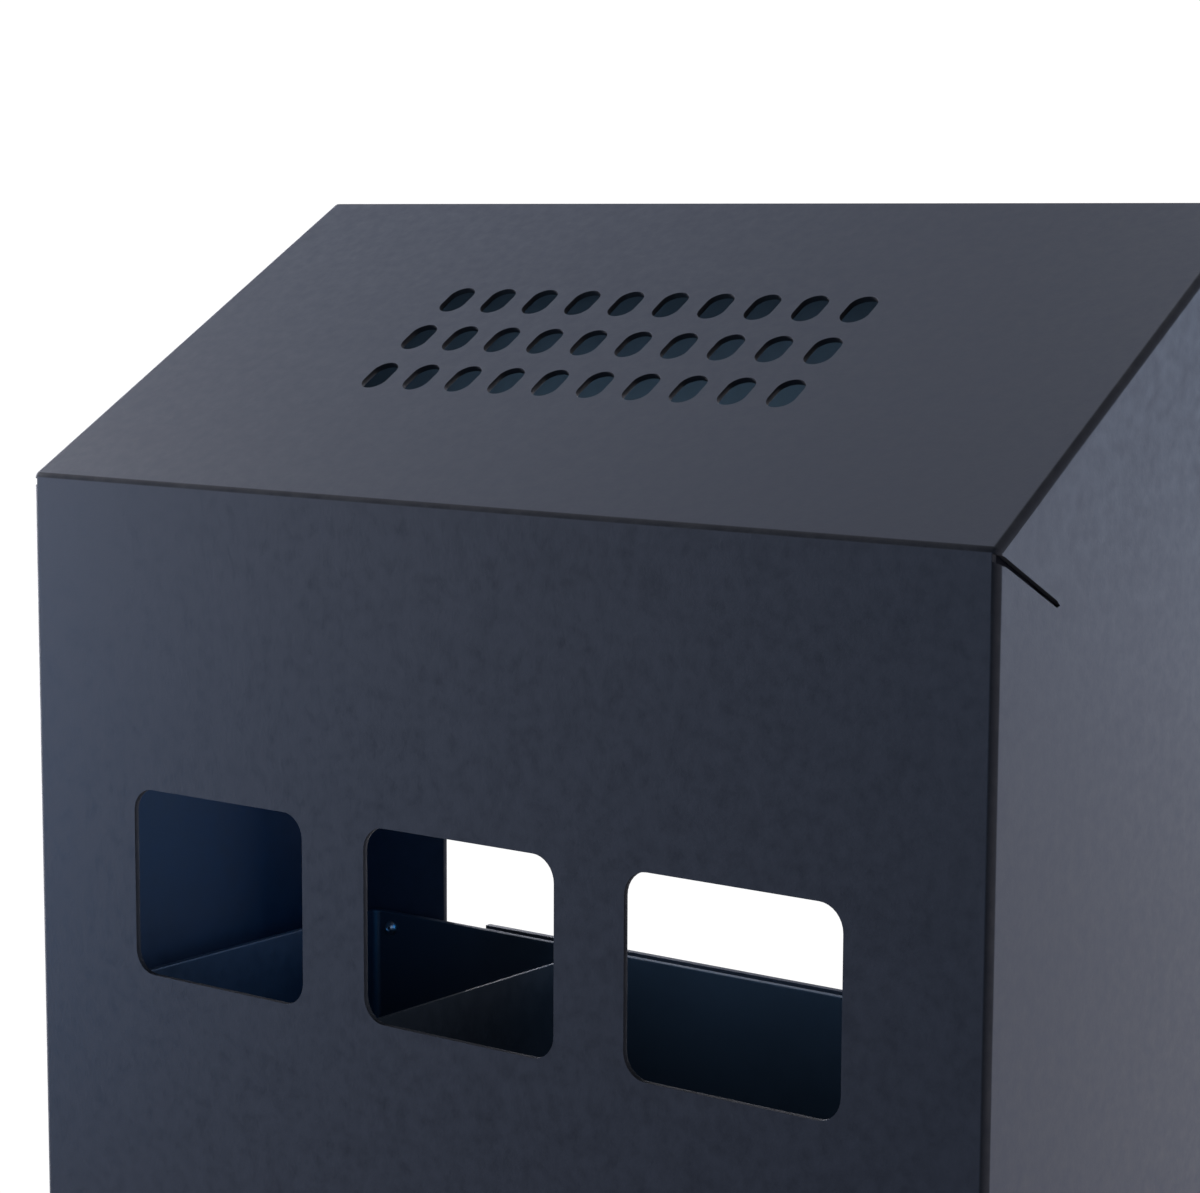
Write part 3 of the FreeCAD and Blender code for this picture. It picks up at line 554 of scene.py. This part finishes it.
# The slots' ends are just short of a full half round, so that the fillet's points stay apart.
FULL_ROUND = 0.499
punch = Jig(
    "roof_slots", Columns=VENT_COLUMNS, Rows=VENT_ROWS, Pitch=VENT_PITCH, Row_Pitch=VENT_ROW_PITCH,
    Width=VENT_WIDTH, Length=VENT_LENGTH, Coat=hood_coat,
)
columns, rows, width = punch.given("Columns"), punch.given("Rows"), punch.given("Width")
grid = punch.node("GeometryNodeMeshGrid", inputs={
    "Size X": (columns - 1) * punch.given("Pitch"),
    "Size Y": (rows - 1) * punch.given("Row_Pitch"),
    "Vertices X": columns,
    "Vertices Y": rows,
})
slot_size = {"Width": width, "Height": punch.given("Length")}
slot_outline = punch.node("GeometryNodeCurvePrimitiveQuadrilateral", inputs=slot_size)
round_off = {"Curve": slot_outline, "Radius": FULL_ROUND * width, "Count": 8, "Limit Radius": True}
slot_outline = punch.node("GeometryNodeFilletCurve", {"mode": "POLY"}, round_off)
through_roof = {"Start": (0, 0, -SHEET * 2), "End": (0, 0, SHEET * 2)}
core = punch.node("GeometryNodeCurvePrimitiveLine", inputs=through_roof)
sweep = {"Curve": core, "Profile Curve": slot_outline, "Fill Caps": True}
slug = punch.node("GeometryNodeCurveToMesh", inputs=sweep)
slugs = punch.node("GeometryNodeInstanceOnPoints", inputs={"Points": grid, "Instance": slug})
slots = punch.run(new_piece("roof_slots", bpy.data.meshes.new("roof_slots")), slugs)
roof_middle = Vector((0, (hood_front + hood_back) / 2, (fold_z + ridge_z) / 2))
slots.data.transform(Matrix.Translation(roof_middle) @ Matrix.Rotation(roof_angle, 4, "X"))
carve(hood, face_outward(slots))

# The slit's outline, from the front corner of the fold. The big faces round it are split first, so that
# the thin triangles that its cut leaves stay near it.
SLIT_TIP = (0.0275, -0.0148)
SLIT_TOP = ((-0.001, -0.0008), (0.0025, -0.0018), (0.0262, -0.0136))
SLIT_BOTTOM = ((0.0260, -0.0151), (0.0034, -0.0042), (0.0018, -0.0038), (-0.001, -0.0024))
SLIT_DEPTH = 0.0016
SPLIT_DROPS = (0.022, 0.052)
SPLIT_BEHIND = 0.004
slit = [(hood_front + y, fold_z + z) for y, z in (*SLIT_TOP, SLIT_TIP, *SLIT_BOTTOM)]
splits = [((0, 0, fold_z - split_drop), (0, 0, 1)) for split_drop in SPLIT_DROPS]
splits.append(((0, hood_front + SLIT_TIP[0] + SPLIT_BEHIND, 0), (0, 1, 0)))
with shaping(hood.data) as solid:
    for place, facing in splits:
        everything = [*solid.verts, *solid.edges, *solid.faces]
        bmesh.ops.bisect_plane(solid, geom=everything, plane_co=place, plane_no=facing)
for side in (-1, 1):
    ends = sorted((side * (hood_side - SLIT_DEPTH), side * (hood_side + PAST)))
    carve(hood, prism("slit", slit, "X", *ends))

# A return of the front sheet inside each corner closes the slit from behind. It starts within the front
# sheet, to be joined with it, and ends just under the roof.
TAB_SHEET = 0.0012
TAB_INSET = 0.0063
TAB_REACH = 0.044
TAB_FOOT = 0.045
TAB_FOOT_REACH = 0.02
TAB_BACK_HEIGHT = 0.02
tab_front = hood_front + SHEET / 3
roof_under = fold_z - SHEET * 1.3
tab = [
    (tab_front, fold_z - TAB_FOOT),
    (tab_front + TAB_FOOT_REACH, fold_z - TAB_FOOT),
    (hood_front + TAB_REACH, fold_z - TAB_BACK_HEIGHT),
    (hood_front + TAB_REACH, roof_under + TAB_REACH * roof_slope),
    (hood_front + SHEET * 1.6, roof_under - 0.0007),
    (tab_front, fold_z - SHEET * 1.7),
]
for side in (-1, 1):
    ends = sorted((side * (hood_side - TAB_INSET - TAB_SHEET), side * (hood_side - TAB_INSET)))
    carve(hood, prism("tab", tab, "X", *ends), "UNION")
ease(hood, CUT_BEVEL)

# Painted shade and a rougher coat go on the bends and eased edges: every point that no flat patch holds.
solid = bmesh.new()
solid.from_mesh(hood.data)
solid.faces.ensure_lookup_table()
on_flat = {v.index for index in flat_patches(solid) for v in solid.faces[index].verts}
solid.free()
bend = hood.data.attributes.new("bend", "FLOAT", "POINT")
bend.data.foreach_set("value", [float(v.index not in on_flat) for v in hood.data.vertices])
finish(hood, "hood", "hood_coat", hood_coat, "hood_shell")

# ---- Container ------------------------------------------------------------------------------------------
# A lift-out pan of 1 mm sheet with rounded upright corners and its rim folded outward and down,
# powder-coated like the hood but more evenly.

PAN_SHEET = 0.001
PAN_CORNER = 0.003
PAN_HEM = 0.010
HEM_THICK = 2 * PAN_SHEET
HEM_EDGE = 0.0004
HEM_ROUND = 0.0009
HEM_INNER_ROUND = 0.0008
PAN_FOOT_ROUND = 0.0012
pan_low, pan_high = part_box("container_shell")
hem_low = pan_high.z - PAN_HEM
pan_floor = pan_low.z + PAN_SHEET


def pan_ring(inset, height):
    """The pan's outline in plan, inset from its rim's outside."""
    sides = rectangle(pan_low.x + inset, pan_low.y + inset, pan_high.x - inset, pan_high.y - inset)
    return [(*point, height) for point in rounded(sides, [PAN_CORNER + PAN_SHEET - inset] * 4, steps=5)]


pan = lofted("container", [
    pan_ring(PAN_SHEET + PAN_FOOT_ROUND, pan_low.z),
    pan_ring(PAN_SHEET + PAN_FOOT_ROUND / 3, pan_low.z + PAN_FOOT_ROUND / 3),
    pan_ring(PAN_SHEET, pan_low.z + PAN_FOOT_ROUND),
    pan_ring(PAN_SHEET, hem_low),
    pan_ring(HEM_EDGE, hem_low),
    pan_ring(0, hem_low + HEM_EDGE),
    pan_ring(0, pan_high.z - HEM_ROUND),
    pan_ring(HEM_ROUND / 3, pan_high.z - HEM_ROUND / 3),
    pan_ring(HEM_ROUND, pan_high.z),
    pan_ring(HEM_THICK - HEM_INNER_ROUND, pan_high.z),
    pan_ring(HEM_THICK - HEM_INNER_ROUND / 4, pan_high.z - HEM_ROUND / 3),
    pan_ring(HEM_THICK, pan_high.z - HEM_INNER_ROUND),
    pan_ring(HEM_THICK, pan_floor + PAN_SHEET),
    pan_ring(HEM_THICK + PAN_SHEET, pan_floor),
])
smooth(pan)
container_coat = dull_skin("container_powder_coat", rgba(46, 53, 62), 0.46, mottle=0.2)
finish(pan, "container", "container_coat", container_coat, "container_shell")

# ---- Sheet-metal pieces ---------------------------------------------------------------------------------
# The wall plate, rails, shelf and its gussets, lock bracket, divider, keeper and cam are laser-cut, most
# of them folded, and powder-coated, but for the zinc-plated cam. They keep their solids' shape, with the
# cut edges broken as deburring and coating leave them.

DEBURR = 0.00025
LEVEL_WITHIN = math.radians(1)


def soften(node, body, slot, material, width=DEBURR):
    """A copy of a CAD piece's solid with its edges broken."""
    piece = face_outward(new_piece(node + "_sheet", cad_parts[node].data.copy()))
    with shaping(piece.data) as solid:
        bmesh.ops.dissolve_limit(solid, angle_limit=LEVEL_WITHIN, verts=solid.verts, edges=solid.edges)
    ease(piece, width, angle=35)
    return finish(piece, body, slot, material, node)


zinc = dull_skin("zinc_plate", rgba(172, 174, 172), 0.36, mottle=0.1, metal=0.9)
bracket_coat = dull_skin("bracket_powder_coat", rgba(46, 49, 58), 0.52)
for node in ("wall_plate", "guide_rail_left", "guide_rail_right", "container_shelf", "shelf_gusset_left",
             "shelf_gusset_right", "lock_bracket"):
    soften(node, "bracket", "bracket_coat", bracket_coat)
soften("container_divider", "container", "container_coat", container_coat)
soften("lock_keeper", "hood", "hood_coat", hood_coat)
soften("lock_cam", "lock", "zinc", zinc)

# ---- Lock -----------------------------------------------------------------------------------------------
# A cam lock of the kind used on cabinets: a chromed barrel with a rolled head and a threaded stem, its
# nut and washer, and a brass plug with a triangular key socket that carries the cam. Most of it is
# turned, and starts as a profile spun about the key's axis.

HEAD_RADIUS = 0.011
STEM_RADIUS = 0.009
BORE_RADIUS = 0.006
THREAD_PITCH = 0.001
THREAD_DEPTH = 0.0004
HEAD_THICKNESS = 0.003
THREAD_START = 0.002
THREAD_END = 0.001
STEM_POINT = 0.0006
FINE_EDGE = 0.00015
FINEST_EDGE = 0.0001
lock_axis = Vector((0.0, -0.086))
barrel_low, barrel_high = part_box("lock_barrel")
head_top = barrel_low.z + HEAD_THICKNESS


def spun(name, profile, axis, turns=48):
    """A solid of revolution about an upright axis: profile points are (radius, height)."""
    mesh = bpy.data.meshes.new(name)
    with shaping(mesh) as solid:
        rings = []
        for radius, height in profile:
            angles = [k * math.tau / turns for k in range(turns if radius else 1)]
            spots = [(axis[0] + radius * math.cos(a), axis[1] + radius * math.sin(a), height) for a in angles]
            rings.append([solid.verts.new(spot) for spot in spots])
        for lower, upper in zip(rings, rings[1:]):
            for k in range(turns):
                here, there = k % turns, (k + 1) % turns
                corners = [lower[here % len(lower)], lower[there % len(lower)],
                           upper[there % len(upper)], upper[here % len(upper)]]
                unique = list(dict.fromkeys(corners))
                if len(unique) > 2:
                    solid.faces.new(unique)
    return face_outward(new_piece(name, mesh))


outside = [
    (BORE_RADIUS, barrel_low.z + 0.0004),
    (BORE_RADIUS + 0.0006, barrel_low.z + 0.0003),
    (BORE_RADIUS + 0.0010, barrel_low.z),
    (HEAD_RADIUS - 0.0018, barrel_low.z),
    (HEAD_RADIUS - 0.0009, barrel_low.z + 0.0003),
    (HEAD_RADIUS - 0.0002, barrel_low.z + 0.0011),
    (HEAD_RADIUS, barrel_low.z + 0.0019),
    (HEAD_RADIUS, head_top - 0.0003),
    (HEAD_RADIUS - 0.0003, head_top),
    (STEM_RADIUS, head_top),
]
# The thread is cut as rings, one to each pitch.
height = head_top + THREAD_START
while height < barrel_high.z - THREAD_END:
    outside += [(STEM_RADIUS, height), (STEM_RADIUS - THREAD_DEPTH, height + THREAD_PITCH / 2)]
    height += THREAD_PITCH
outside += [(STEM_RADIUS - STEM_POINT, barrel_high.z), (BORE_RADIUS, barrel_high.z)]
barrel = spun("barrel", outside + [outside[0]], lock_axis)
chrome = Paint("chrome", Base_Color=rgba(205, 207, 210), Metallic=1.0, Roughness=0.16)
finish(smooth(barrel, angle=50), "bracket", "lock_chrome", chrome.material, "lock_barrel")


def polygon(radius, sides, turn=0.0, centre=lock_axis):
    return [(centre.x + radius * math.cos(turn + k * math.tau / sides),
             centre.y + radius * math.sin(turn + k * math.tau / sides)) for k in range(sides)]


NUT_ACROSS = 0.024
NUT_CHAMFER = 0.0009
NUT_FACE_INSET = 0.0002
FIT = 0.0001
nut_low, nut_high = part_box("lock_nut")
corner_radius = NUT_ACROSS / math.sqrt(3)
nut_flat = NUT_ACROSS / 2 - NUT_FACE_INSET
clear_of_corner = corner_radius + FIT
blank = prism("nut", polygon(corner_radius, 6), "Z", nut_low.z, nut_high.z)
crown = spun("crown", [
    (0, nut_low.z), (nut_flat, nut_low.z), (clear_of_corner, nut_low.z + NUT_CHAMFER),
    (clear_of_corner, nut_high.z - NUT_CHAMFER), (nut_flat, nut_high.z), (0, nut_high.z),
], lock_axis, turns=72)
carve(blank, crown, "INTERSECT")
bore = (0, nut_low.z - PAST), (STEM_RADIUS + FIT, nut_low.z - PAST), (STEM_RADIUS + FIT, nut_high.z + PAST)
carve(blank, spun("bore", [*bore, (0, nut_high.z + PAST)], lock_axis))
finish(ease(blank, FINE_EDGE, angle=35), "bracket", "zinc", zinc, "lock_nut")

WASHER_TEETH = 14
WASHER_RADIUS = 0.012
NOTCH_RADIUS = 0.0009
NOTCH_SIDES = 10
washer_low, washer_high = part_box("lock_washer")
washer = spun("washer", [
    (STEM_RADIUS + FIT, washer_low.z), (WASHER_RADIUS, washer_low.z), (WASHER_RADIUS, washer_high.z),
    (STEM_RADIUS + FIT, washer_high.z), (STEM_RADIUS + FIT, washer_low.z),
], lock_axis, WASHER_TEETH * 4)
for k in range(WASHER_TEETH):
    notch_centre = lock_axis + Matrix.Rotation(k * math.tau / WASHER_TEETH, 2) @ Vector((WASHER_RADIUS, 0))
    notch = polygon(NOTCH_RADIUS, NOTCH_SIDES, k * math.tau / WASHER_TEETH, notch_centre)
    carve(washer, prism("notch", notch, "Z", washer_low.z - PAST, washer_high.z + PAST))
finish(ease(washer, FINEST_EDGE, angle=40), "bracket", "zinc", zinc, "lock_washer")

PLUG_RADIUS = 0.00595
TANG = 0.007
KEY_RADIUS = 0.004
KEY_DEPTH = 0.0055
KEY_CORNER = 0.0005
PLUG_EDGE = 0.0003
plug_low, plug_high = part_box("lock_plug")
tang_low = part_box("lock_cam")[0].z
plug = spun("plug", [
    (0, plug_low.z), (PLUG_RADIUS - PLUG_EDGE, plug_low.z), (PLUG_RADIUS, plug_low.z + PLUG_EDGE),
    (PLUG_RADIUS, tang_low), (0, tang_low),
], lock_axis)


def about_axis(width, depth):
    """A rectangle in plan, centred on the lock's axis."""
    return rectangle(lock_axis.x - width / 2, lock_axis.y - depth / 2,
                     lock_axis.x + width / 2, lock_axis.y + depth / 2)


carve(plug, prism("tang", about_axis(TANG, TANG), "Z", tang_low - PAST, plug_high.z), "UNION")
key_hole = rounded(polygon(KEY_RADIUS, 3, math.pi / 2), [KEY_CORNER] * 3, steps=4)
carve(plug, prism("key_hole", key_hole, "Z", plug_low.z - PAST, plug_low.z + KEY_DEPTH))
brass = Paint("brass", Base_Color=rgba(196, 160, 92), Metallic=1.0, Roughness=0.28)
finish(ease(plug, FINE_EDGE, angle=35), "lock", "lock_brass", brass.material, "lock_plug")

cam_washer_low, cam_washer_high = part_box("cam_washer")
CAM_WASHER_RADIUS = 0.006
CAM_WASHER_HOLE = 0.0021
CAM_WASHER_EDGE = 0.0002
cam_washer_flat = CAM_WASHER_RADIUS - CAM_WASHER_EDGE
cam_washer = spun("washer_disc", [
    (CAM_WASHER_HOLE, cam_washer_low.z), (cam_washer_flat, cam_washer_low.z),
    (CAM_WASHER_RADIUS, cam_washer_low.z + CAM_WASHER_EDGE),
    (CAM_WASHER_RADIUS, cam_washer_high.z - CAM_WASHER_EDGE),
    (cam_washer_flat, cam_washer_high.z), (CAM_WASHER_HOLE, cam_washer_high.z),
    (CAM_WASHER_HOLE, cam_washer_low.z),
], lock_axis)
finish(smooth(cam_washer), "lock", "zinc", zinc, "cam_washer")

screw_low, screw_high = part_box("cam_screw")
SCREW_SHANK = 0.002
SCREW_HEAD = 0.0035
RECESS_WIDTH = 0.0009
RECESS_LENGTH = 0.0040
RECESS_DEPTH = 0.0014
cam_screw = spun("screw", [
    (0, screw_low.z), (SCREW_SHANK, screw_low.z), (SCREW_SHANK, cam_washer_high.z),
    (SCREW_HEAD, cam_washer_high.z), (SCREW_HEAD, cam_washer_high.z + 0.0012),
    (SCREW_HEAD * 0.93, cam_washer_high.z + 0.0018), (SCREW_HEAD * 0.74, cam_washer_high.z + 0.0023),
    (SCREW_HEAD * 0.4, screw_high.z), (0, screw_high.z),
], lock_axis, turns=36)
for width, depth in ((RECESS_WIDTH, RECESS_LENGTH), (RECESS_LENGTH, RECESS_WIDTH)):
    recess = about_axis(width, depth)
    carve(cam_screw, prism("recess", recess, "Z", screw_high.z - RECESS_DEPTH, screw_high.z + PAST))
finish(ease(cam_screw, FINEST_EDGE, angle=45), "lock", "zinc", zinc, "cam_screw")

# ---- Blind rivets ---------------------------------------------------------------------------------------
# Domed aluminium blind rivets with their broken mandrel showing: the same rivet set at many places, its
# head on the near side of each pair of sheets.

RIVET_HEAD = 0.004
RIVET_CROWN = 0.0014
RIVET_SHANK = 0.002
MANDREL = 0.0011


def rivet_profile(tail, across=1.0):
    """A rivet whose head stands on height 0, its shank reaching down to -tail."""
    full = [
        (0, -tail), (RIVET_SHANK, -tail), (RIVET_SHANK, 0), (RIVET_HEAD, 0), (RIVET_HEAD, 0.0002),
        (RIVET_HEAD * 0.93, 0.00055), (RIVET_HEAD * 0.75, 0.00098), (RIVET_HEAD * 0.5, 0.00128),
        (MANDREL + 0.0003, RIVET_CROWN), (MANDREL, 0.00115), (MANDREL * 0.5, 0.00105), (0, 0.00110),
    ]
    return [(radius * across, height) for radius, height in full]


def fasten(name, spots, profile, turn, coat, turns=24):
    """One spun shape set at many spots, its axis turned by Euler angles in degrees."""
    one = spun(name + "_one", profile, (0, 0), turns)
    marks = bpy.data.meshes.new(name)
    marks.from_pydata(spots, [], [])
    jig = Jig(name, Fastener=one, Turn=tuple(math.radians(angle) for angle in turn), Coat=coat)
    as_made = {"transform_space": "ORIGINAL"}
    source = jig.node("GeometryNodeObjectInfo", as_made, {"Object": jig.given("Fastener")}, "Geometry")
    placing = {"Points": jig.given("Geometry"), "Instance": source, "Rotation": jig.given("Turn")}
    piece = jig.run(new_piece(name, marks), jig.node("GeometryNodeInstanceOnPoints", inputs=placing))
    bpy.data.objects.remove(one)
    return piece


def joined(name, pieces):
    """One piece from several."""
    mesh = bpy.data.meshes.new(name)
    with shaping(mesh) as solid:
        for piece in pieces:
            solid.from_mesh(piece.data)
            bpy.data.objects.remove(piece)
    return new_piece(name, mesh)


aluminium = Paint("aluminium", Base_Color=rgba(188, 190, 193), Metallic=1.0, Roughness=0.34).material
OUT_OF_WALL = (90, 0, 0)
DOWNWARD = (180, 0, 0)
UPWARD = (0, 0, 0)

rail_low, rail_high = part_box("rail_rivets")
shelf_low, shelf_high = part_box("shelf_rivets")
foot_low, foot_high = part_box("lock_bracket_rivets")
SHEETS_THICK = 0.004
head_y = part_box("wall_plate")[0].y - SHEETS_THICK / 2
rail_x = rail_high.x - RIVET_HEAD
rail_z = (rail_low.z + RIVET_HEAD, (rail_low.z + rail_high.z) / 2, rail_high.z - RIVET_HEAD)
shelf_x = shelf_high.x - RIVET_HEAD
shelf_z = (shelf_low.z + shelf_high.z) / 2
wall_spots = [(side * rail_x, head_y, z) for side in (-1, 1) for z in rail_z]
wall_spots += [(share * shelf_x, head_y, shelf_z) for share in (-1, -1 / 3, 1 / 3, 1)]
foot_x = foot_high.x - RIVET_HEAD
foot_y = (foot_low.y + RIVET_HEAD, foot_high.y - RIVET_HEAD)
foot_spots = [(side * foot_x, y, foot_high.z - SHEETS_THICK) for side in (-1, 1) for y in foot_y]
bracket_rivets = joined("bracket_rivets", [
    fasten("wall_set", wall_spots, rivet_profile(SHEETS_THICK), OUT_OF_WALL, aluminium),
    fasten("foot_set", foot_spots, rivet_profile(SHEETS_THICK), DOWNWARD, aluminium),
])
bracket_nodes = ("rail_rivets", "shelf_rivets", "lock_bracket_rivets")
finish(smooth(bracket_rivets), "bracket", "rivet", aluminium, *bracket_nodes)

CORNER_INSET = 0.007
CORNER_DROP = 0.005
CORNER_RISE = 0.008
DIVIDER_DROP = 0.018
DIVIDER_RISE = 0.016
DIVIDER_GRIP = 0.0022
DIVIDER_FLANGE_HALF = 0.006
SMALL_RIVET = 0.55
corner_x = pan_high.x - PAN_SHEET - CORNER_INSET
corner_y = pan_high.y - 2 * PAN_SHEET
corner_spots = [(side * corner_x, corner_y, z) for side in (-1, 1)
                for z in (pan_high.z - CORNER_DROP, pan_low.z + CORNER_RISE)]
divider_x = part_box("container_divider")[0].x + DIVIDER_FLANGE_HALF
divider_z = (pan_high.z - DIVIDER_DROP, pan_low.z + DIVIDER_RISE)
back_spots = [(divider_x, pan_high.y - PAN_SHEET - DIVIDER_GRIP, z) for z in divider_z]
front_spots = [(divider_x, pan_low.y + PAN_SHEET, z) for z in divider_z]
pan_rivets = joined("container_rivet_set", [
    fasten("corner_set", corner_spots, rivet_profile(PAN_SHEET, SMALL_RIVET), OUT_OF_WALL, aluminium),
    fasten("back_set", back_spots, rivet_profile(DIVIDER_GRIP), OUT_OF_WALL, aluminium),
    fasten("front_set", front_spots, rivet_profile(DIVIDER_GRIP), OUT_OF_WALL, aluminium),
])
finish(smooth(pan_rivets), "container", "rivet", aluminium, "container_rivets")

# ---- Studs and feet -------------------------------------------------------------------------------------
# Two steel studs welded inside the hood's rear flanges hang it on the rails, and four stuck-on rubber
# feet carry the container on its shelf.

stud_low, stud_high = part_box("hood_studs")
STUD_RADIUS = 0.004
STUD_EASE = 0.0006
stud_height = stud_high.y - stud_low.y
stud_profile = [
    (0, 0), (STUD_RADIUS, 0), (STUD_RADIUS, stud_height - STUD_EASE), (STUD_RADIUS - STUD_EASE, stud_height),
    (0, stud_height),
]
stud_x = stud_high.x - STUD_RADIUS
stud_spots = [(side * stud_x, stud_high.y, (stud_low.z + stud_high.z) / 2) for side in (-1, 1)]
studs = fasten("studs", stud_spots, stud_profile, OUT_OF_WALL, zinc, turns=32)
finish(smooth(studs), "hood", "zinc", zinc, "hood_studs")

feet_low, feet_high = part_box("container_feet")
FOOT_RADIUS = 0.008
foot_height = feet_high.z - feet_low.z
foot_profile = [
    (0, 0), (FOOT_RADIUS - 0.0014, 0), (FOOT_RADIUS - 0.0006, 0.0003), (FOOT_RADIUS - 0.0002, 0.001),
    (FOOT_RADIUS, foot_height), (0, foot_height),
]
feet_spots = [(x, y, feet_low.z) for x in (feet_low.x + FOOT_RADIUS, feet_high.x - FOOT_RADIUS)
              for y in (feet_low.y + FOOT_RADIUS, feet_high.y - FOOT_RADIUS)]
rubber = Paint("rubber", Base_Color=rgba(24, 24, 25), Roughness=0.75).material
feet = fasten("feet", feet_spots, foot_profile, UPWARD, rubber, turns=32)
finish(smooth(feet), "container", "foot_rubber", rubber, "container_feet")
